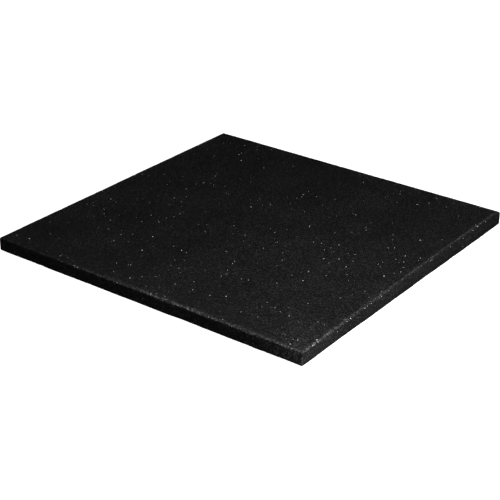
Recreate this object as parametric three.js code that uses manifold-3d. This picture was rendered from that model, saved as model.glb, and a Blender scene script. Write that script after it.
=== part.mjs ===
// A square rubber floor tile for gyms, pressed in one piece from black rubber crumb.
// Sizes are in millimetres, and +Z is up. The origin is the middle of the underside,
// so the tile lies on z = 0, with its sides along X and Y.

import Module from "manifold-3d";
import * as THREE from "three";
import * as BufferGeometryUtils from "three/addons/utils/BufferGeometryUtils.js";

// Driving sizes of the tile
const SIDE_LENGTH = 500; // from one side face to the opposite one, the same both ways
const THICKNESS = 20; // from the underside to the walking face
const EDGE_RADIUS = 2.5; // easing where the side faces meet the walking face and the underside
const CORNER_RADIUS = 1.2; // round of the upright edges, where two side faces meet

// An easing can't be deeper than this share of the thickness, so a thin tile keeps a side face.
const DEEPEST_EASING_SHARE = 0.4;

// Each section is drawn out past the tile by this share of the side length, to cut it cleanly.
const OVERRUN_SHARE = 0.02;

// Fineness of the round stretches
const EASING_FLATS = 6; // across one eased edge
const CORNER_FLATS = 4; // round one upright edge

// Black rubber: matt, and not quite as dark as the voids between its crumbs
const RUBBER_COLOUR = 0x1c1c1d;
const RUBBER_ROUGHNESS = 0.85;

const wasm = await Module();
wasm.setup();

// A rectangle with rounded corners, centred on the origin.
function roundedRectangle(width, height, cornerRadius) {
  const reachAcross = width / 2 - cornerRadius;
  const reachUp = height / 2 - cornerRadius;
  const centres = [
    [reachAcross, reachUp],
    [-reachAcross, reachUp],
    [-reachAcross, -reachUp],
    [reachAcross, -reachUp],
  ];
  const outline = new THREE.Shape();
  centres.forEach(([x, y], corner) => {
    const startAngle = (corner * Math.PI) / 2;
    outline.absarc(x, y, cornerRadius, startAngle, startAngle + Math.PI / 2, false);
  });
  outline.closePath();
  return outline;
}

// A section drawn out along Z to a length, centred on the origin. An arc gets two flats for each
// curve segment.
function drawnOut(section, length, flatsPerCorner) {
  const geometry = new THREE.ExtrudeGeometry(section, {
    depth: length,
    bevelEnabled: false,
    curveSegments: flatsPerCorner / 2,
  });
  return geometry.translate(0, 0, -length / 2);
}

function toSolid(geometry) {
  geometry.deleteAttribute("normal");
  geometry.deleteAttribute("uv");
  const merged = BufferGeometryUtils.mergeVertices(geometry);
  const mesh = new wasm.Mesh({
    numProp: 3,
    vertProperties: merged.attributes.position.array,
    triVerts: Uint32Array.from(merged.index.array),
  });
  return new wasm.Manifold(mesh);
}

function toGeometry(solid) {
  const mesh = solid.getMesh();
  const geometry = new THREE.BufferGeometry();
  geometry.setAttribute("position", new THREE.BufferAttribute(mesh.vertProperties, 3));
  geometry.setIndex(new THREE.BufferAttribute(mesh.triVerts, 1));
  geometry.computeVertexNormals();
  return geometry;
}

// The tile is what its plan outline and its two eased sections, one along each side, all hold.
function tileGeometry() {
  const easing = Math.min(EDGE_RADIUS, DEEPEST_EASING_SHARE * THICKNESS);
  const overrun = OVERRUN_SHARE * SIDE_LENGTH;
  const plan = roundedRectangle(SIDE_LENGTH, SIDE_LENGTH, CORNER_RADIUS);
  const section = roundedRectangle(SIDE_LENGTH, THICKNESS, easing);
  const upright = toSolid(drawnOut(plan, THICKNESS + overrun, CORNER_FLATS));
  const along = drawnOut(section, SIDE_LENGTH + overrun, EASING_FLATS).rotateX(Math.PI / 2);
  const across = along.clone().rotateZ(Math.PI / 2);
  const eased = toSolid(along).intersect(toSolid(across));
  return toGeometry(upright.intersect(eased)).translate(0, 0, THICKNESS / 2);
}

const rubber = new THREE.MeshStandardMaterial({
  color: RUBBER_COLOUR,
  roughness: RUBBER_ROUGHNESS,
  metalness: 0,
});

const tile = new THREE.Mesh(tileGeometry(), rubber);
tile.name = "tile";

const floorTile = new THREE.Group();
floorTile.add(tile);

export default floorTile;
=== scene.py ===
"""Dresses a pressed rubber floor tile: crumb relief, light granules, studio and camera.

Lengths are in metres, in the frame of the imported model: the tile lies on z = 0 and +Z is up.
The tile is one pressed piece, so its skin is one closed mesh. The light granules that show in
its faces are a second mesh, seated in that skin.
"""

from __future__ import annotations

import logging
import math
from dataclasses import astuple, dataclass, field
from enum import Enum

import bmesh
import bpy
import numpy as np
from mathutils import Matrix, Vector
from mathutils.bvhtree import BVHTree


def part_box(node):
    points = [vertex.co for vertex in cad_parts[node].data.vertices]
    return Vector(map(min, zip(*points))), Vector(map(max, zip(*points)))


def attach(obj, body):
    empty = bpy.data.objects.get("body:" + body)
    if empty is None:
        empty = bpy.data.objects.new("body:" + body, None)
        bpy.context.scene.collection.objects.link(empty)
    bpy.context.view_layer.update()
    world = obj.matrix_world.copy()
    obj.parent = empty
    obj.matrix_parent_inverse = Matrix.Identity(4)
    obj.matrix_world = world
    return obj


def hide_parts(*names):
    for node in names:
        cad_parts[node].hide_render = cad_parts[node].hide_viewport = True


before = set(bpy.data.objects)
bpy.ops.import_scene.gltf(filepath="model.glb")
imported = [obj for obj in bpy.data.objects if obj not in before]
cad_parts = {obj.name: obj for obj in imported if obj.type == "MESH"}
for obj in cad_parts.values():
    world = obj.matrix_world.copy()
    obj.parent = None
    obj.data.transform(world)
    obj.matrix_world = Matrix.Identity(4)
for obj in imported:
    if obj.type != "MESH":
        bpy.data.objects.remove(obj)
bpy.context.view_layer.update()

TILE_NODE = "tile"
ROOT_BODY = "root"
MILLIMETRE = 0.001
WHITE = (1.0, 1.0, 1.0, 1.0)
MEAN_OF_RANDOM_COLOUR = (0.5, 0.5, 0.5)

Socket = bpy.types.NodeSocket

log = logging.getLogger("floor_tile")


def put_in_scene(name: str, data: bpy.types.ID) -> bpy.types.Object:
    """Makes an object of a mesh, lamp or camera, and links it to the scene.

    Args:
        name: the object's name.
        data: what it shows.

    Returns:
        The object.
    """
    piece = bpy.data.objects.new(name, data)
    bpy.context.scene.collection.objects.link(piece)
    return piece


def paint(mesh: bpy.types.Mesh, name: str, values: np.ndarray) -> None:
    """Writes one number at each point of a mesh, for its material to read.

    Args:
        mesh: the mesh.
        name: the name that the material reads it by.
        values: the numbers, one for each point.
    """
    attribute = mesh.attributes.new(name, "FLOAT", "POINT")
    attribute.data.foreach_set("value", values.astype(np.float32))


class Zone(Enum):
    """The stretches of the tile's skin, from the walking face round to the underside."""

    WALKING_FACE = 0
    UPPER_EASING = 1
    SIDE_FACE = 2
    LOWER_EASING = 3
    UNDERSIDE = 4


@dataclass(frozen=True)
class Relief:
    """How uneven one zone of the skin is, in millimetres.

    Attributes:
        crumb: height of single crumbs above or below the face.
        swell: height of the slow swell that the press leaves.
        wave: height of the long waves of a face that isn't quite straight.
        chip: depth of the places where crumbs have come away.
    """

    crumb: float
    swell: float
    wave: float
    chip: float = 0.0


RELIEFS = {
    Zone.WALKING_FACE: Relief(crumb=0.02, swell=0.03, wave=0.05),
    Zone.UPPER_EASING: Relief(crumb=0.08, swell=0.12, wave=0.20, chip=0.35),
    Zone.SIDE_FACE: Relief(crumb=0.04, swell=0.08, wave=0.30, chip=0.02),
    Zone.LOWER_EASING: Relief(crumb=0.12, swell=0.15, wave=0.45, chip=0.40),
    Zone.UNDERSIDE: Relief(crumb=0.08, swell=0.10, wave=0.10),
}


@dataclass(frozen=True)
class WearAndPaintedLight:
    """How the rubber is painted lighter: scuffs and painted highlights on the upper edges, and
    painted light at the front corner.

    Attributes:
        front: plan place of the front corner, where the scuffs and the painted light are
            strongest.
        faint_corner: plan place of the corner whose edge has the least scuffing and painted
            highlight.
        foot: how far below the walking face the wear and painted highlight reach, on the side that
            faces -Y.
        far_foot: how far it reaches on the other sides, away from the front corner.
        foot_run: distance from the front corner over which it shrinks to that.
        ramp: height over which it fades in.
        line: width of the scuffed line with its painted highlight just inside the easing, on the
            side that faces -Y and on the others.
        crest_bare: share of the wear and painted highlight that is missing from the very crest at
            the front corner, on the same two.
        crest_depth: how far below the walking face that reaches.
        crest_reach: distance from the front corner over which it dies away.
        haze: width of the faint band inside that line, scuffing and painted sheen.
        haze_share: how strong that band is.
        patch: length of the stretches along the edges over which the scuffs and painted highlight
            vary.
        patch_share: how much the wear varies from stretch to stretch.
        spot: size of the lumps in them, scuffs and painted glints.
        spot_share: how much it varies from lump to lump.
        front_reach: how far the painted light at the front corner reaches.
        front_share: how strong it is on the side that faces -Y.
        front_on_side: share of that on the next side.
        front_on_top: share of it on the walking face.
        front_side: wear and painted highlight of the upper edge of the side that faces -Y.
        other_sides: wear and painted highlight of the other upper edges.
        front_gain: share by which these two grow at the front corner.
        bite: size of the bite out of the front corner that is left bare of scuffs and painted
            light.
        faint_reach: how far the faint stretch reaches from its corner.
        faint_least: least share of that distance that counts, so that a little wear and painted
            highlight stays.
        seed: seed of the patches and spots.
    """

    front: tuple[float, float]
    faint_corner: tuple[float, float]
    foot: float = 2.1 * MILLIMETRE
    far_foot: float = 0.9 * MILLIMETRE
    foot_run: float = 0.12
    ramp: float = 0.6 * MILLIMETRE
    line: tuple[float, float] = (1.7 * MILLIMETRE, 1.1 * MILLIMETRE)
    crest_bare: tuple[float, float] = (0.75, 0.0)
    crest_depth: float = 0.8 * MILLIMETRE
    crest_reach: float = 0.1
    haze: float = 9.0 * MILLIMETRE
    haze_share: float = 0.15
    patch: float = 22.0 * MILLIMETRE
    patch_share: float = 0.3
    spot: float = 4.5 * MILLIMETRE
    spot_share: float = 0.4
    front_reach: float = 0.054
    front_share: float = 1.7
    front_on_side: float = 0.3
    front_on_top: float = 0.26
    front_side: float = 1.7
    other_sides: float = 1.05
    front_gain: tuple[float, float] = (0.4, 0.55)
    bite: float = 4.5 * MILLIMETRE
    faint_reach: float = 0.3
    faint_least: float = 0.15
    seed: int = 5

    def at(
        self, points: np.ndarray, normals: np.ndarray, inside: np.ndarray, below: np.ndarray
    ) -> np.ndarray:
        """Works out the wear, the painted highlights on the edges and the painted light at the
        front corner.

        Args:
            points: places on the skin, one row each.
            normals: the way out of the rubber at each place.
            inside: how far each place lies inside the easing, or less than 0 on the easing.
            below: how far it lies below the walking face.

        Returns:
            The wear and painted light at each place, where 1 is a scuffed edge in full painted
            highlight.
        """
        flat = points[:, :2]
        from_front = np.linalg.norm(flat - np.array(self.front), axis=1)
        along_front = np.abs(flat[:, 0]) < -flat[:, 1]
        near_front = np.exp(-((from_front / self.front_reach) ** 2))
        depth = np.clip(inside, 0.0, None)
        line = np.where(along_front, *self.line)
        fade = np.exp(-depth / line) + self.haze_share * np.exp(-depth / self.haze)
        from_faint_corner = np.linalg.norm(flat - np.array(self.faint_corner), axis=1)
        kept = np.clip(from_faint_corner / self.faint_reach, self.faint_least, 1.0) ** 2
        # How strong the scuffs and painted highlight are on each upper edge, growing towards the
        # front corner.
        rubbed_and_lit = np.where(along_front, self.front_side, self.other_sides)
        rubbed_and_lit *= 1.0 + np.where(along_front, *self.front_gain) * near_front
        patches = 1.0 + self.patch_share * LatticeNoise(self.patch, self.seed).at(points)
        patches += self.spot_share * LatticeNoise(self.spot, self.seed + 1).at(points)
        # The edge line: scuffs plus a painted highlight, laid on the easing where the lamps'
        # highlight falls.
        edge = self.down_easing(from_front, along_front, below) * fade
        edge = edge * patches * kept * rubbed_and_lit
        shown = np.clip(-normals[:, 1], self.front_on_side, 1.0)
        shown = np.maximum(shown, self.front_on_top * normals[:, 2])
        # Painted light: a pool of light on the walking face and both sides by the front corner,
        # where the key lamp stands close.
        corner = self.front_share * near_front * shown
        bitten = np.exp(-(from_front**2 + below**2) / self.bite**2)
        return np.maximum(edge, corner) * (1.0 - bitten)

    def down_easing(
        self, from_front: np.ndarray, along_front: np.ndarray, below: np.ndarray
    ) -> np.ndarray:
        """Works out how the wear and painted highlight die away down the easing, and on its crest.

        Args:
            from_front: distance of each place from the front corner.
            along_front: whether it lies along the side that faces -Y.
            below: how far it lies below the walking face.

        Returns:
            The share of the wear and painted highlight that each place keeps.
        """
        away = np.where(along_front, 0.0, np.clip(from_front / self.foot_run, 0.0, 1.0))
        foot = self.foot + (self.far_foot - self.foot) * away
        easing = np.clip((foot - below) / self.ramp, 0.0, 1.0)
        crest = np.exp(-from_front / self.crest_reach) * np.where(along_front, *self.crest_bare)
        return easing * (1.0 - crest * np.clip(1.0 - below / self.crest_depth, 0.0, 1.0))


@dataclass(frozen=True)
class LatticeNoise:
    """Smooth noise from -1 to 1, blended between random values on a cubic lattice.

    Attributes:
        cell: edge of one lattice cube.
        seed: seed of the random values.
        table_size: how many random values there are.
        primes: factors that scatter the lattice points over those values.
    """

    cell: float
    seed: int
    table_size: int = 8192
    primes: tuple[int, int, int] = (73856093, 19349663, 83492791)

    def at(self, points: np.ndarray) -> np.ndarray:
        """Reads the noise.

        Args:
            points: places to read it at, one row each.

        Returns:
            One value for each place.
        """
        table = np.random.default_rng(self.seed).uniform(-1.0, 1.0, self.table_size)
        spread = points / self.cell
        low = np.floor(spread).astype(np.int64)
        part = spread - low
        ease = part * part * (3.0 - 2.0 * part)
        total = np.zeros(len(points))
        for corner in np.ndindex(2, 2, 2):
            weight = np.prod(np.where(np.array(corner) == 1, ease, 1.0 - ease), axis=1)
            hashed = np.bitwise_xor.reduce((low + corner) * np.array(self.primes), axis=1)
            total += weight * table[hashed % self.table_size]
        return total


@dataclass(frozen=True)
class Loop:
    """A closed row of skin points, counter-clockwise seen from above.

    Attributes:
        indices: the points' places in the skin.
        stations: how far round the loop each point lies, where a whole lap is Loop.LAP.
    """

    indices: np.ndarray
    stations: np.ndarray

    # Each side takes 1 of the lap, and each corner takes this much.
    CORNER_SPAN = 0.02
    LAP = 4.0 * (1.0 + CORNER_SPAN)

    def index(self, step: int) -> int:
        """The skin index of a point, counted on past the end of the lap."""
        return int(self.indices[step % len(self.indices)])

    def station(self, step: int) -> float:
        """Tells how far round a point lies.

        Args:
            step: number of the point, where the first point comes again after the last.

        Returns:
            Its station, or infinity past the end of the lap.
        """
        if step < len(self.stations):
            return float(self.stations[step])
        if step == len(self.stations):
            return float(self.stations[0]) + self.LAP
        return math.inf

    def band_to(self, lower: Loop) -> list[tuple[int, int, int]]:
        """Joins this loop to the next one further round the skin.

        Args:
            lower: the loop that lies nearer to the underside.

        Returns:
            Triangles that face out.
        """
        triangles = []
        here, there = 0, 0
        while here < len(self.indices) or there < len(lower.indices):
            start = (self.index(here), lower.index(there))
            if self.station(here + 1) <= lower.station(there + 1):
                triangles.append((*start, self.index(here + 1)))
                here += 1
            else:
                triangles.append((*start, lower.index(there + 1)))
                there += 1
        return triangles


@dataclass
class Skin:
    """The points and faces of the closed skin, as they are laid.

    Attributes:
        points: the places, in the groups in which they were laid.
        normals: the way out of the rubber at each place, in the same groups.
        zones: the zone number of each place, in the same groups.
        faces: the point indices of each face.
    """

    points: list[np.ndarray] = field(default_factory=list)
    normals: list[np.ndarray] = field(default_factory=list)
    zones: list[np.ndarray] = field(default_factory=list)
    faces: list[tuple[int, ...]] = field(default_factory=list)

    def lay(self, points: np.ndarray, normals: np.ndarray, zone: Zone) -> np.ndarray:
        """Adds points to the skin.

        Args:
            points: the places, one row each.
            normals: the way out of the rubber at each place.
            zone: the zone that they belong to.

        Returns:
            Their indices in the skin.
        """
        start = sum(map(len, self.points))
        self.points.append(points)
        self.normals.append(normals)
        self.zones.append(np.full(len(points), zone.value))
        return np.arange(start, start + len(points))

    def join(self, loops: list[Loop]) -> None:
        """Joins each loop to the next, from the top of the list down."""
        for upper, lower in zip(loops, loops[1:]):
            self.faces.extend(upper.band_to(lower))


@dataclass
class PressedSlab:
    """The tile's rubber body: a closed skin with crumb relief, eased edges and tight corners.

    Attributes:
        low: lowest corner of the solid that it stands for.
        high: highest corner of that solid.
        easing: radius where the side faces meet the walking face and the underside.
        corner_round: round of the upright edges, where two side faces meet.
        face_steps: squares along one side of the walking face.
        edge_share: points along an edge for each square of the walking face.
        corner_steps: flats round one corner.
        easing_rows: rows of faces across one eased edge.
        side_rows: rows of faces down a side face.
        underside_steps: squares along one side of the underside, which has larger ones.
        underside_inset: width of the strip where the underside's squares grow.
        drift: how far a point inside a face leaves its square's corner, in squares.
        swell_cell: size of the press's slow swells.
        wave_cell: length of a face's long waves.
        notch_depth: depth of the small bite out of the front corner of the walking face.
        notch_reach: size of that bite.
        lean: how far the side that faces +X leans in at its top, towards the back.
        lean_full: share of the side's length over which the lean grows.
        lean_end: distance from the far corner over which it dies away.
        lean_foot: height at which the lean starts.
        lean_run: how far into the walking face it dies away.
        chip_cell: size of the places where crumbs have come away.
        chip_threshold: how rare they are, from -1 to 1.
        seed: seed of every random draw on the skin.
        skin: the points and faces as they are laid.
        piece: the slab's object, once it is built.
    """

    low: Vector
    high: Vector
    easing: float = 2.5 * MILLIMETRE
    corner_round: float = 1.2 * MILLIMETRE
    face_steps: int = 216
    edge_share: int = 2
    corner_steps: int = 6
    easing_rows: int = 6
    side_rows: int = 9
    underside_steps: int = 106
    underside_inset: float = 3.0 * MILLIMETRE
    drift: float = 0.3
    swell_cell: float = 14.0 * MILLIMETRE
    wave_cell: float = 38.0 * MILLIMETRE
    notch_depth: float = 1.0 * MILLIMETRE
    notch_reach: float = 2.6 * MILLIMETRE
    lean: float = 2.9 * MILLIMETRE
    lean_full: float = 0.6
    lean_end: float = 18.0 * MILLIMETRE
    lean_foot: float = 9.0 * MILLIMETRE
    lean_run: float = 9.0 * MILLIMETRE
    chip_cell: float = 5.0 * MILLIMETRE
    chip_threshold: float = 0.35
    seed: int = 11
    skin: Skin = field(default_factory=Skin)
    piece: bpy.types.Object | None = None

    @property
    def thickness(self) -> float:
        """Height of the walking face above the underside."""
        return self.high.z - self.low.z

    @property
    def core(self) -> float:
        """Half the side of the walking face's grid, which its own corner rounds run round."""
        return (self.high.x - self.low.x) / 2 - self.easing - self.corner_round

    def build(self) -> None:
        """Lays the skin, raises its relief and makes the mesh."""
        steps = self.face_steps * self.edge_share
        walking = self.square_grid(self.core, self.face_steps, self.thickness, Zone.WALKING_FACE)
        rings = [self.ring(steps, *row) for row in self.profile()]
        widening = self.square_loop(self.core, self.face_steps, Zone.UNDERSIDE)
        inner = self.core - self.underside_inset
        underside = self.square_grid(inner, self.underside_steps, 0.0, Zone.UNDERSIDE)
        self.skin.join([walking, *rings, widening, underside])
        self.finish_mesh()

    def profile(self) -> list[tuple[float, float, float, Zone]]:
        """Works out the section of the tile's edge, from the walking face to the underside.

        Returns:
            For each row, half its side, its height, the lean of its normal above the
            horizontal, and its zone.
        """
        upper, lower = self.thickness - self.easing, self.easing
        quarter = math.pi / 2
        side = self.core + self.corner_round + self.easing
        rows = [(side - self.easing, self.thickness, quarter, Zone.WALKING_FACE)]
        for row in range(1, self.easing_rows + 1):
            lean = quarter * (1 - row / self.easing_rows)
            rows.append((*self.on_round(lean, upper), lean, Zone.UPPER_EASING))
        for row in range(1, self.side_rows):
            height = upper + (lower - upper) * row / self.side_rows
            rows.append((side, height, 0.0, Zone.SIDE_FACE))
        for row in range(self.easing_rows + 1):
            lean = -quarter * row / self.easing_rows
            rows.append((*self.on_round(lean, lower), lean, Zone.LOWER_EASING))
        return rows

    def on_round(self, lean: float, centre_height: float) -> tuple[float, float]:
        """Finds a point on an eased edge.

        Args:
            lean: angle of the edge's normal above the horizontal.
            centre_height: height of the round's centre.

        Returns:
            Half the side of the row that it lies in, and its height.
        """
        half = self.core + self.corner_round + self.easing * math.cos(lean)
        return half, centre_height + self.easing * math.sin(lean)

    def ring(self, steps: int, half: float, height: float, lean: float, zone: Zone) -> Loop:
        """Lays one closed row round the tile's edge.

        Args:
            steps: points along one side.
            half: half of the row's side.
            height: height of the row.
            lean: angle of its normal above the horizontal.
            zone: the zone that it belongs to.

        Returns:
            The row as a loop.
        """
        places, outwards, stations = [], [], []
        reach = half - self.corner_round
        along = np.linspace(0.0, 1.0, steps + 1)
        turns = np.arange(1, self.corner_steps) / self.corner_steps
        for side in range(4):
            facing = math.radians(90 * side - 90)
            way_out = np.array([math.cos(facing), math.sin(facing)])
            way_along = np.array([-way_out[1], way_out[0]])
            start = way_out * half - way_along * reach
            straight = start + np.outer(along, way_along * 2 * reach)
            angles = facing + turns * math.pi / 2
            spokes = np.column_stack([np.cos(angles), np.sin(angles)])
            arc = (way_out + way_along) * reach + spokes * self.corner_round
            places += [straight, arc]
            outwards += [np.tile(way_out, (len(along), 1)), spokes]
            begin = side * (1 + Loop.CORNER_SPAN) + Loop.CORNER_SPAN / 2
            stations += [begin + along, begin + 1 + turns * Loop.CORNER_SPAN]
        flat, spread = np.vstack(places), np.vstack(outwards)
        points = np.column_stack([flat, np.full(len(flat), height)])
        up = np.full(len(flat), math.sin(lean))
        normals = np.column_stack([spread * math.cos(lean), up])
        return Loop(self.skin.lay(points, normals, zone), np.concatenate(stations))

    def square_loop(self, half: float, steps: int, zone: Zone) -> Loop:
        """Lays a square row with sharp corners in the underside.

        Args:
            half: half of the square's side.
            steps: points along one side.
            zone: the zone that it belongs to.

        Returns:
            The row as a loop.
        """
        along = np.arange(steps) / steps
        places, stations = [], []
        for side in range(4):
            facing = math.radians(90 * side - 90)
            way_out = np.array([math.cos(facing), math.sin(facing), 0.0])
            way_along = np.array([-way_out[1], way_out[0], 0.0])
            places.append((way_out - way_along) * half + np.outer(along, way_along * 2 * half))
            stations.append(self.sharp_stations(side, steps))
        points = np.vstack(places)
        normals = np.tile([0.0, 0.0, -1.0], (len(points), 1))
        return Loop(self.skin.lay(points, normals, zone), np.concatenate(stations))

    @staticmethod
    def sharp_stations(side: int, steps: int) -> np.ndarray:
        """Places the points of one side of a sharp-cornered square round its lap.

        Args:
            side: number of the side, counted round from the one that faces -Y.
            steps: points along the side.

        Returns:
            The stations, of which the first is the corner's.
        """
        begin = side * (1 + Loop.CORNER_SPAN)
        stations = begin + Loop.CORNER_SPAN / 2 + np.arange(steps) / steps
        stations[0] = begin
        return stations

    def square_grid(self, half: float, steps: int, height: float, zone: Zone) -> Loop:
        """Lays a flat grid of squares, with the points inside it drifting off the straight.

        Args:
            half: half of the grid's side.
            steps: squares along one side.
            height: height of the grid.
            zone: the walking face, or the underside, which faces down.

        Returns:
            The grid's border as a loop.
        """
        ticks = np.linspace(-half, half, steps + 1)
        across, up = np.meshgrid(ticks, ticks)
        points = np.column_stack([across.ravel(), up.ravel(), np.full(across.size, height)])
        inside = np.max(np.abs(points[:, :2]), axis=1) < half * (1 - 0.5 / steps)
        reach = self.drift * 2 * half / steps
        rng = np.random.default_rng(self.seed + steps)
        points[inside, :2] += rng.uniform(-reach, reach, (int(inside.sum()), 2))
        facing = 1.0 if zone is Zone.WALKING_FACE else -1.0
        normals = np.tile([0.0, 0.0, facing], (len(points), 1))
        table = self.skin.lay(points, normals, zone).reshape(steps + 1, steps + 1)
        corners = [table[:-1, :-1], table[:-1, 1:], table[1:, 1:], table[1:, :-1]]
        squares = np.column_stack([corner.ravel() for corner in corners])
        if zone is Zone.UNDERSIDE:
            squares = squares[:, ::-1]
        self.skin.faces.extend(map(tuple, squares.tolist()))
        border = [table[0, :-1], table[:-1, -1], table[-1, :0:-1], table[:0:-1, 0]]
        stations = [self.sharp_stations(side, steps) for side in range(4)]
        return Loop(np.concatenate(border), np.concatenate(stations))

    def finish_mesh(self) -> None:
        """Raises the relief and turns the skin into a mesh with its wear, painted edge highlights
        and painted corner light painted on.
        """
        points = np.vstack(self.skin.points)
        normals = np.vstack(self.skin.normals)
        raised = points + normals * self.relief(points)[:, None]
        raised[:, 0] -= self.lean_in(points)
        raised[:, 2] = np.maximum(raised[:, 2], self.low.z)
        inside = self.core + self.corner_round - np.abs(points[:, :2]).max(axis=1)
        mesh = bpy.data.meshes.new("rubber_slab")
        mesh.from_pydata(raised.tolist(), [], self.skin.faces)
        mesh.polygons.foreach_set("use_smooth", np.ones(len(mesh.polygons), bool))
        # One number per point for the material: scuffs, painted highlights on the upper edges and
        # painted light at the front corner.
        wear = WearAndPaintedLight(front=(self.high.x, self.low.y), faint_corner=(self.low.x, self.low.y))
        paint(mesh, "worn_and_lit", wear.at(points, normals, inside, self.high.z - points[:, 2]))
        mesh.update()
        self.piece = put_in_scene("rubber_slab", mesh)

    def relief(self, points: np.ndarray) -> np.ndarray:
        """Works out the crumb, the swells and waves, the bite and the chips.

        Args:
            points: every point of the skin, one row each, in the order in which they were laid.

        Returns:
            How far each point stands out of the plain skin.
        """
        table = np.array([astuple(RELIEFS[zone]) for zone in Zone]) * MILLIMETRE
        crumb, swell, wave, chip = table[np.concatenate(self.skin.zones)].T
        rng = np.random.default_rng(self.seed)
        missing = LatticeNoise(self.chip_cell, self.seed + 1).at(points) - self.chip_threshold
        height = crumb * rng.uniform(-1.0, 1.0, len(points))
        height += swell * LatticeNoise(self.swell_cell, self.seed + 2).at(points)
        height += wave * LatticeNoise(self.wave_cell, self.seed + 3).at(points)
        front_corner = np.array([self.high.x, self.low.y, self.high.z])
        from_notch = np.linalg.norm(points - front_corner, axis=1)
        height -= self.notch_depth * np.exp(-((from_notch / self.notch_reach) ** 2))
        height -= chip * np.clip(missing, 0.0, None) / (1.0 - self.chip_threshold)
        return height

    def lean_in(self, points: np.ndarray) -> np.ndarray:
        """Works out how far the skin leans in along the side that faces +X.

        Args:
            points: places on the skin, one row each.

        Returns:
            The shift towards -X at each place: none at the corners and low on the side.
        """
        along = np.clip((points[:, 1] - self.low.y) / (self.high.y - self.low.y), 0.0, 1.0)
        grown = np.clip(along / self.lean_full, 0.0, 1.0)
        grown *= np.clip((self.high.y - points[:, 1]) / self.lean_end, 0.0, 1.0)
        up = np.clip((points[:, 2] - self.lean_foot) / (self.thickness - self.lean_foot), 0.0, 1.0)
        inside = np.clip(self.core + self.corner_round - points[:, 0], 0.0, None)
        return self.lean * grown * up * np.exp(-inside / self.lean_run)

    def dress(self, material: bpy.types.Material) -> None:
        """Gives the slab its rubber and ties it to the solid that it stands for.

        Args:
            material: the crumb rubber.
        """
        self.piece.data.materials.append(material)
        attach(self.piece, ROOT_BODY)
        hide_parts(TILE_NODE)


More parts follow.
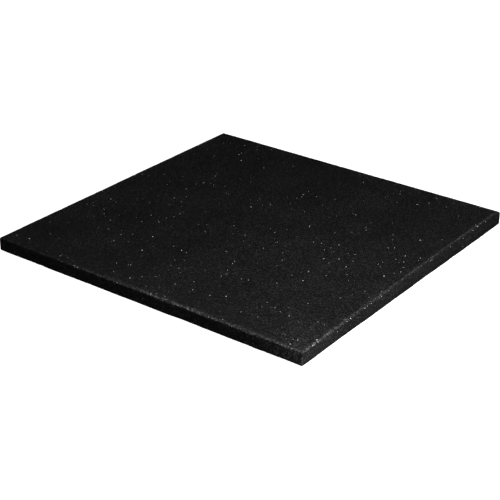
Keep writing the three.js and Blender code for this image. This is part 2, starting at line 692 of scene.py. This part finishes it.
@dataclass
class LightGranules:
    """The light granules of the pressed mass that show in the tile's faces.

    Attributes:
        slab: the rubber body that they are seated in.
        per_square_metre: how many show on each square metre of face.
        per_edge_metre: how many more show on each metre of the eased upper edges.
        edge_spread: how far those lie off the middle of the easing.
        smallest: least radius of a granule along the face.
        largest: greatest radius along the face.
        side_share: size of a granule in a side face or an edge, beside one in the walking face.
        depth_share: a granule's radius into the face, as a share of its radius along it.
        proud: how far its top stands out of the rubber.
        proud_below: how far it may stand out of the underside, on which the tile lies.
        cluster_cell: size of the loose clusters that they lie in.
        cluster_bar: range of the noise level that a place has to reach to hold a granule.
        flat_rise: rise of the skin's normal from which a seat counts as in a flat face.
        corner_clear: no granule shows nearer than this to a corner of the walking face.
        size_power: power on their random sizes, where more than 1 makes small ones commoner.
        slimness: range that scales a granule's size past the smallest, each way along the face.
        lumpiness: range of its radius from point to point, beside that of a smooth one.
        fineness: how fine the ball is that it is cut from: 1 for 20 faces, and 2 for 80.
        tone_power: power on their random tones, where less than 1 makes pale ones commoner.
        seed: seed of every random draw on the granules.
        piece: the granules' object, once it is built.
    """

    slab: PressedSlab
    per_square_metre: float = 1300.0
    per_edge_metre: float = 60.0
    edge_spread: float = 0.8 * MILLIMETRE
    smallest: float = 0.5 * MILLIMETRE
    largest: float = 1.9 * MILLIMETRE
    side_share: float = 0.5
    depth_share: float = 0.45
    proud: float = 0.2 * MILLIMETRE
    proud_below: float = 0.05 * MILLIMETRE
    cluster_cell: float = 45.0 * MILLIMETRE
    cluster_bar: tuple[float, float] = (-1.0, 0.6)
    flat_rise: float = 0.95
    corner_clear: float = 20.0 * MILLIMETRE
    size_power: float = 2.0
    slimness: tuple[float, float] = (0.7, 1.0)
    lumpiness: tuple[float, float] = (0.72, 1.18)
    fineness: int = 2
    tone_power: float = 0.65
    seed: int = 158
    piece: bpy.types.Object | None = None

    def build(self) -> None:
        """Seats every granule in the slab, as one joined mesh."""
        rng = np.random.default_rng(self.seed)
        seats, normals = self.seats(rng)
        corners, triangles = self.ball()
        points = self.lumps(rng, seats, normals, corners)
        tones = rng.uniform(size=len(seats)) ** self.tone_power
        from_corner = np.abs(seats) - np.array(self.slab.high)
        kept = np.linalg.norm(from_corner, axis=1) > self.corner_clear
        offsets = np.arange(int(kept.sum()))[:, None, None] * len(corners)
        faces = (triangles[None] + offsets).reshape(-1, 3)
        mesh = bpy.data.meshes.new("light_granules")
        mesh.from_pydata(points[kept].reshape(-1, 3).tolist(), [], faces.tolist())
        paint(mesh, "tone", np.repeat(tones[kept], len(corners)))
        mesh.update()
        self.piece = put_in_scene("light_granules", mesh)

    def seats(self, rng: np.random.Generator) -> tuple[np.ndarray, np.ndarray]:
        """Picks the places on the slab's skin where granules show.

        Args:
            rng: source of the random places.

        Returns:
            The places on the skin and its normals there.
        """
        mesh = self.slab.piece.data
        corners = [vertex.co for vertex in mesh.vertices]
        tree = BVHTree.FromPolygons(corners, [tuple(face.vertices) for face in mesh.polygons])
        places = self.places_on_faces(rng) + self.places_on_edges(rng)
        nearest = [tree.find_nearest(Vector(place)) for place in places]
        return np.array([hit[0] for hit in nearest]), np.array([hit[1] for hit in nearest])

    def places_on_faces(self, rng: np.random.Generator) -> list[np.ndarray]:
        """Draws places on all six faces of the solid, in loose clusters.

        Args:
            rng: source of the random places.

        Returns:
            The places.
        """
        low, high = np.array(self.slab.low), np.array(self.slab.high)
        size = high - low
        areas = np.array([size[1] * size[2], size[0] * size[2], size[0] * size[1]])
        clusters = LatticeNoise(self.cluster_cell, self.seed)
        places = []
        while len(places) < int(self.per_square_metre * 2 * areas.sum()):
            place = low + rng.uniform(size=3) * size
            axis = int(rng.choice(3, p=areas / areas.sum()))
            place[axis] = rng.choice([low[axis], high[axis]])
            if clusters.at(place[None])[0] >= rng.uniform(*self.cluster_bar):
                places.append(place)
        return places

    def places_on_edges(self, rng: np.random.Generator) -> list[np.ndarray]:
        """Draws places by the four upper edges of the solid.

        Args:
            rng: source of the random places.

        Returns:
            The places.
        """
        low, high = np.array(self.slab.low), np.array(self.slab.high)
        size = high - low
        places = []
        for _ in range(int(self.per_edge_metre * 2 * (size[0] + size[1]))):
            place = low + rng.uniform(size=3) * size
            axis = int(rng.integers(2))
            place[axis] = rng.choice([low[axis], high[axis]])
            place[2] = high[2]
            places.append(place + rng.normal(size=3) * self.edge_spread)
        return places

    def ball(self) -> tuple[np.ndarray, np.ndarray]:
        """Makes the ball that each granule is cut from.

        Returns:
            The corners of the ball, whose radius is 1, and its triangles.
        """
        shape = bmesh.new()
        bmesh.ops.create_icosphere(shape, subdivisions=self.fineness, radius=1.0)
        corners = np.array([vertex.co for vertex in shape.verts])
        triangles = np.array([[vertex.index for vertex in face.verts] for face in shape.faces])
        shape.free()
        return corners, triangles

    def lumps(
        self, rng: np.random.Generator, seats: np.ndarray, normals: np.ndarray, corners: np.ndarray
    ) -> np.ndarray:
        """Shapes a lump from the ball for each seat, and sinks it in the rubber.

        Args:
            rng: source of the random shapes.
            seats: the places on the skin, one row each.
            normals: the skin's normals there.
            corners: the corners of the ball.

        Returns:
            The corners of each lump.
        """
        count = len(seats)
        chance = rng.uniform(size=(count, 1)) ** self.size_power
        chance = chance * rng.uniform(*self.slimness, (count, 2))
        radii = self.smallest + (self.largest - self.smallest) * chance
        off_flat = np.abs(normals[:, 2]) < self.flat_rise
        radii *= np.where(off_flat, self.side_share, 1.0)[:, None]
        depth = radii.min(axis=1) * self.depth_share
        uneven = rng.uniform(*self.lumpiness, (count, len(corners), 1))
        shapes = corners[None] * uneven * np.column_stack([radii, depth])[:, None, :]
        first = np.cross(normals, rng.normal(size=(count, 3)))
        first /= np.linalg.norm(first, axis=1, keepdims=True)
        axes = np.stack([first, np.cross(normals, first), normals], axis=1)
        centres = seats + normals * (self.proud - depth)[:, None]
        points = np.einsum("gvi,gij->gvj", shapes, axes) + centres[:, None]
        points[..., 2] = np.maximum(points[..., 2], self.slab.low.z - self.proud_below)
        return points

    def dress(self, material: bpy.types.Material) -> None:
        """Gives the granules their finish and ties them to the tile.

        Args:
            material: the light rubber.
        """
        self.piece.data.materials.append(material)
        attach(self.piece, ROOT_BODY)


class NodeGraph:
    """The nodes of a material or of the room's surround, added and wired one by one."""

    def __init__(self, owner: bpy.types.Material | bpy.types.World) -> None:
        """Empties the nodes.

        Args:
            owner: the material or surround that they belong to.
        """
        self.owner = owner
        owner.use_nodes = True
        self.tree = owner.node_tree
        self.tree.nodes.clear()

    def node(
        self, kind: str, inputs: dict[str | int, object] | None = None, **settings: object
    ) -> bpy.types.Node:
        """Adds a node.

        Args:
            kind: the node's type, without the leading ShaderNode.
            inputs: for each input's name or number, a value or the socket that feeds it.
            **settings: properties to set on the node itself.

        Returns:
            The node.
        """
        made = self.tree.nodes.new("ShaderNode" + kind)
        for key, value in settings.items():
            setattr(made, key, value)
        for key, value in (inputs or {}).items():
            if isinstance(value, Socket):
                self.tree.links.new(value, made.inputs[key])
            else:
                made.inputs[key].default_value = value
        return made

    def math(self, operation: str, *values: object) -> Socket:
        """Adds a sum on numbers.

        Args:
            operation: the name of the sum.
            *values: its inputs in order, each a number or a socket.

        Returns:
            The result's socket.
        """
        return self.node("Math", dict(enumerate(values)), operation=operation).outputs[0]

    def spread(self, value: Socket, start: float, end: float) -> Socket:
        """Stretches a value that runs from 0 to 1 over another range.

        Args:
            value: the socket that holds it.
            start: what 0 becomes.
            end: what 1 becomes.

        Returns:
            The stretched value's socket.
        """
        inputs = {"Value": value, "To Min": start, "To Max": end}
        return self.node("MapRange", inputs).outputs["Result"]

    def scaled(self, vector: object, factor: object) -> Socket:
        """The socket of a colour or direction times a number."""
        return self.node("VectorMath", {0: vector, "Scale": factor}, operation="SCALE").outputs[0]

    def finish(self, shader: bpy.types.Node) -> bpy.types.Material:
        """Wires the shader to the output, and gives the finished material."""
        self.node("OutputMaterial", {"Surface": shader.outputs[0]})
        return self.owner


@dataclass(frozen=True)
class CrumbRubber:
    """Black rubber crumb, pressed with a binder: packed granules, with painted shade in the gaps
    between them.

    Attributes:
        tone: how light the rubber is, on a scale where white is 1.
        tint: the rubber's own colour, beside a neutral grey.
        crumb: size of one granule.
        gap_depth: how far the gaps between granules go down.
        scuffed_depth: how far they go down where the mark of scuffs and painted light is full.
        own_tone: range of a granule's own tone, beside the rubber's.
        pale_power: power on their random tones, where more than 1 makes pale ones rarer.
        gap_reach: roundness up to which the painted shade in a gap is darkest, and at which it
            ends.
        gap_shade: tone of the gaps, beside the granules': painted shade in the recesses between
            them.
        tilt: how far single granules lean out of the face.
        grain: size of the fine grain on each granule.
        grain_depth: how deep that grain is.
        grain_detail: how many finer layers that grain has.
        mottle: size of the cloudy patches that dust leaves.
        mottle_detail: how many finer layers those patches have.
        dust: range of the tone that they leave, beside the rubber's.
        gloss: roughness of the smoothest granule.
        dullness: roughness of the dullest granule.
        specular: how much the rubber shines.
        scuff_and_highlight: how much lighter the rubber is painted at scuffs, painted highlights
            and painted light, than the rest.
    """

    tone: float = 0.016
    tint: tuple[float, float, float] = (1.0, 1.0, 1.02)
    crumb: float = 1.6 * MILLIMETRE
    gap_depth: float = 0.6 * MILLIMETRE
    scuffed_depth: float = 0.2 * MILLIMETRE
    own_tone: tuple[float, float] = (0.5, 2.75)
    pale_power: float = 3.0
    gap_reach: tuple[float, float] = (0.25, 0.6)
    gap_shade: float = 0.4
    tilt: float = 0.1
    grain: float = 0.5 * MILLIMETRE
    grain_depth: float = 0.05 * MILLIMETRE
    grain_detail: float = 3.0
    mottle: float = 55.0 * MILLIMETRE
    mottle_detail: float = 0.5
    dust: tuple[float, float] = (0.5, 1.5)
    gloss: float = 0.48
    dullness: float = 0.8
    specular: float = 0.3
    scuff_and_highlight: float = 2.0

    def material(self) -> bpy.types.Material:
        """Mixes the rubber.

        Returns:
            The material.
        """
        graph = NodeGraph(bpy.data.materials.new("crumb_rubber"))
        place = graph.node("TexCoord").outputs["Object"]
        crumbs = graph.node("TexVoronoi", {"Vector": place, "Scale": 1 / self.crumb})
        chance = graph.node("SeparateColor", {"Color": crumbs.outputs["Color"]})
        roundness = graph.math("SUBTRACT", 1.0, crumbs.outputs["Distance"])
        normal = self.surface(graph, place, crumbs, roundness)
        colour = self.colour(graph, place, chance, roundness)
        rough = graph.spread(chance.outputs["Green"], self.gloss, self.dullness)
        inputs = {
            "Base Color": colour,
            "Roughness": rough,
            "Normal": normal,
            "Specular IOR Level": self.specular,
        }
        return graph.finish(graph.node("BsdfPrincipled", inputs))

    def surface(
        self, graph: NodeGraph, place: Socket, crumbs: bpy.types.Node, roundness: Socket
    ) -> Socket:
        """Gives each granule its lean and its round, and the grain on it.

        Args:
            graph: the material's nodes.
            place: the point of the surface.
            crumbs: the pattern of granules.
            roundness: how near the point is to its granule's middle, where it is 1.

        Returns:
            The normal's socket.
        """
        off_mean = {0: crumbs.outputs["Color"], 1: MEAN_OF_RANDOM_COLOUR}
        lean = graph.node("VectorMath", off_mean, operation="SUBTRACT").outputs[0]
        facing = graph.node("NewGeometry").outputs["Normal"]
        both = {0: facing, 1: graph.scaled(lean, self.tilt)}
        tilted = graph.node("VectorMath", both, operation="ADD").outputs[0]
        normal = graph.node("VectorMath", {0: tilted}, operation="NORMALIZE").outputs[0]
        worn_and_lit = graph.node("Attribute", attribute_name="worn_and_lit").outputs["Fac"]
        depth = graph.spread(worn_and_lit, self.gap_depth, self.scuffed_depth)
        rounded = {"Height": roundness, "Distance": depth, "Normal": normal}
        rounds = graph.node("Bump", rounded).outputs[0]
        fine = {"Vector": place, "Scale": 1 / self.grain, "Detail": self.grain_detail}
        grain = graph.node("TexNoise", fine).outputs[0]
        grained = {"Height": grain, "Distance": self.grain_depth, "Normal": rounds}
        return graph.node("Bump", grained).outputs[0]

    def colour(
        self, graph: NodeGraph, place: Socket, chance: bpy.types.Node, roundness: Socket
    ) -> Socket:
        """Varies the black by granule, with painted shade in the gaps, in dusty patches, and
        lighter at scuffs, painted highlights and painted light.

        Args:
            graph: the material's nodes.
            place: the point of the surface.
            chance: random numbers of the point's granule.
            roundness: how near the point is to its granule's middle, where it is 1.

        Returns:
            The colour's socket.
        """
        pale = graph.math("POWER", chance.outputs["Red"], self.pale_power)
        own = graph.spread(pale, *self.own_tone)
        # Painted shade: the gaps between granules are darkened, as if shade fell in them.
        low, high = self.gap_reach
        limits = {"Value": roundness, "From Min": low, "From Max": high, "To Min": self.gap_shade}
        gap = graph.node("MapRange", limits).outputs["Result"]
        clouds = {"Vector": place, "Scale": 1 / self.mottle, "Detail": self.mottle_detail}
        dust = graph.spread(graph.node("TexNoise", clouds).outputs[0], *self.dust)
        # Lighter where the mesh is marked: scuffs plus painted highlights on the upper edges and
        # painted light at the front corner.
        worn_and_lit = graph.node("Attribute", attribute_name="worn_and_lit").outputs["Fac"]
        scuff_and_highlight = graph.math("MULTIPLY_ADD", worn_and_lit, self.scuff_and_highlight, 1.0)
        level = graph.math("MULTIPLY", graph.math("MULTIPLY", own, gap), self.tone)
        level = graph.math("MULTIPLY", graph.math("MULTIPLY", dust, scuff_and_highlight), level)
        return graph.scaled(self.tint, level)


@dataclass(frozen=True)
class LightRubber:
    """The pale grey of the light granules, each in its own tone.

    Attributes:
        darkest: tone of the darkest granule.
        palest: tone of the palest granule.
        tint: the granules' colour, beside a neutral grey.
        grain: size of the fine grain on a granule.
        grain_depth: how deep that grain is.
        mottling: range of the tone that the grain leaves, beside the granule's.
        roughness: range of how matt the grain leaves it.
    """

    darkest: float = 0.12
    palest: float = 0.85
    tint: tuple[float, float, float] = (1.0, 1.0, 0.98)
    grain: float = 0.3 * MILLIMETRE
    grain_depth: float = 0.04 * MILLIMETRE
    mottling: tuple[float, float] = (0.7, 1.2)
    roughness: tuple[float, float] = (0.5, 0.8)

    def material(self) -> bpy.types.Material:
        """Mixes the light rubber.

        Returns:
            The material.
        """
        graph = NodeGraph(bpy.data.materials.new("light_granule"))
        place = graph.node("TexCoord").outputs["Object"]
        grain = graph.node("TexNoise", {"Vector": place, "Scale": 1 / self.grain}).outputs[0]
        tone = graph.node("Attribute", attribute_name="tone").outputs["Fac"]
        own = graph.spread(tone, self.darkest, self.palest)
        level = graph.math("MULTIPLY", own, graph.spread(grain, *self.mottling))
        colour = graph.scaled(self.tint, level)
        rough = graph.spread(grain, *self.roughness)
        normal = graph.node("Bump", {"Height": grain, "Distance": self.grain_depth}).outputs[0]
        inputs = {"Base Color": colour, "Roughness": rough, "Normal": normal}
        return graph.finish(graph.node("BsdfPrincipled", inputs))


@dataclass(frozen=True)
class Softbox:
    """A square studio lamp that points at a place.

    Attributes:
        name: the lamp's name.
        place: where it hangs.
        size: its width.
        watts: its power.
        aim: the place that it points at.
    """

    name: str
    place: tuple[float, float, float]
    size: float
    watts: float
    aim: tuple[float, float, float] = (0.0, 0.0, 0.0)

    def hang(self) -> None:
        """Hangs the lamp."""
        lamp = bpy.data.lights.new(self.name, "AREA")
        lamp.shape = "SQUARE"
        lamp.size = self.size
        lamp.energy = self.watts
        piece = put_in_scene(self.name, lamp)
        piece.location = self.place
        way = Vector(self.aim) - Vector(self.place)
        piece.rotation_mode = "QUATERNION"
        piece.rotation_quaternion = way.to_track_quat("-Z", "Y")


@dataclass(frozen=True)
class Studio:
    """A plain white floor and surround, with a soft key lamp by the tile's front corner.

    Attributes:
        floor_reach: distance from the tile to the floor's edge.
        floor_drop: gap between the floor and the tile's underside.
        floor_tone: how light the floor is.
        floor_roughness: how matt it is.
        floor_glow: light that the floor gives off by itself, so that it stays white.
        surround: brightness of the room, as the rubber sees it.
        lamps: the softboxes.
    """

    floor_reach: float = 12.0
    floor_drop: float = 0.2 * MILLIMETRE
    floor_tone: float = 0.9
    floor_roughness: float = 0.9
    floor_glow: float = 1.1
    surround: float = 0.001
    lamps: tuple[Softbox, ...] = (
        Softbox("key", place=(0.82, -0.27, 0.42), size=0.30, watts=7.1, aim=(0.15, -0.15, 0.0)),
        Softbox("overhead", place=(0.0, 0.0, 2.2), size=1.6, watts=4.2),
        Softbox("left", place=(-1.5, -0.3, 1.4), size=1.0, watts=0.8),
        Softbox("front", place=(0.3, -1.8, 0.6), size=1.0, watts=1.7),
        Softbox("right_fill", place=(0.9, -1.5, 1.2), size=1.0, watts=4.1),
    )

    def build(self) -> None:
        """Lays the floor, lights the room and hangs the lamps."""
        self.floor()
        self.room()
        for lamp in self.lamps:
            lamp.hang()

    def floor(self) -> None:
        """Lays a floor that the rubber doesn't see, so that the rubber stays black."""
        mesh = bpy.data.meshes.new("floor")
        reach, height = self.floor_reach, -self.floor_drop
        corners = [(-reach, -reach), (reach, -reach), (reach, reach), (-reach, reach)]
        mesh.from_pydata([(x, y, height) for x, y in corners], [], [(0, 1, 2, 3)])
        graph = NodeGraph(bpy.data.materials.new("white_floor"))
        inputs = {
            "Base Color": (self.floor_tone, self.floor_tone, self.floor_tone, 1.0),
            "Roughness": self.floor_roughness,
            "Emission Color": WHITE,
            "Emission Strength": self.floor_glow,
        }
        mesh.materials.append(graph.finish(graph.node("BsdfPrincipled", inputs)))
        piece = put_in_scene("floor", mesh)
        piece.visible_diffuse = False
        piece.visible_glossy = False

    def room(self) -> None:
        """Makes the surround white to the camera and dim to the rubber."""
        world = bpy.data.worlds.new("room")
        graph = NodeGraph(world)
        seen = graph.node("Background", {"Color": WHITE})
        lit = graph.node("Background", {"Color": WHITE, "Strength": self.surround})
        to_camera = graph.node("LightPath").outputs["Is Camera Ray"]
        mix = graph.node("MixShader", {"Fac": to_camera, 1: lit.outputs[0], 2: seen.outputs[0]})
        graph.node("OutputWorld", {"Surface": mix.outputs[0]})
        bpy.context.scene.world = world
        bpy.context.scene.view_settings.view_transform = "Standard"


@dataclass(frozen=True)
class PhotoCamera:
    """The camera at the photograph's place, found by fitting the tile's outline.

    Attributes:
        place: where the camera stands.
        pan: degrees that it is turned from +Y towards -X.
        tilt: degrees that it looks down.
        roll: degrees that it leans over.
        lens: focal length in millimetres.
        sensor: width of the picture's sensor in millimetres.
    """

    place: tuple[float, float, float] = (0.99, -1.372, 0.8141)
    pan: float = 36.096
    tilt: float = 26.256
    roll: float = 0.87
    lens: float = 96.48
    sensor: float = 36.0

    def build(self) -> None:
        """Sets up the camera for the picture."""
        data = bpy.data.cameras.new("camera")
        data.lens = self.lens
        data.sensor_width = self.sensor
        piece = put_in_scene("camera", data)
        turn = Matrix.Rotation(math.radians(self.pan), 4, "Z")
        turn @= Matrix.Rotation(math.radians(90 - self.tilt), 4, "X")
        turn @= Matrix.Rotation(math.radians(self.roll), 4, "Z")
        piece.matrix_world = Matrix.Translation(self.place) @ turn
        bpy.context.scene.camera = piece


def main() -> None:
    """Builds the tile and its studio in order, and reports each piece."""
    logging.basicConfig(level=logging.INFO, format="%(name)s: %(message)s")
    camera = PhotoCamera()
    camera.build()
    log.info("camera: %.1f mm lens", camera.lens)
    slab = PressedSlab(*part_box(TILE_NODE))
    slab.build()
    slab.dress(CrumbRubber().material())
    log.info("%s: %d faces", slab.piece.name, len(slab.piece.data.polygons))
    granules = LightGranules(slab)
    granules.build()
    granules.dress(LightRubber().material())
    log.info("%s: %d faces", granules.piece.name, len(granules.piece.data.polygons))
    studio = Studio()
    studio.build()
    log.info("studio: a floor and %d lamps", len(studio.lamps))


if __name__ == "__main__":
    main()
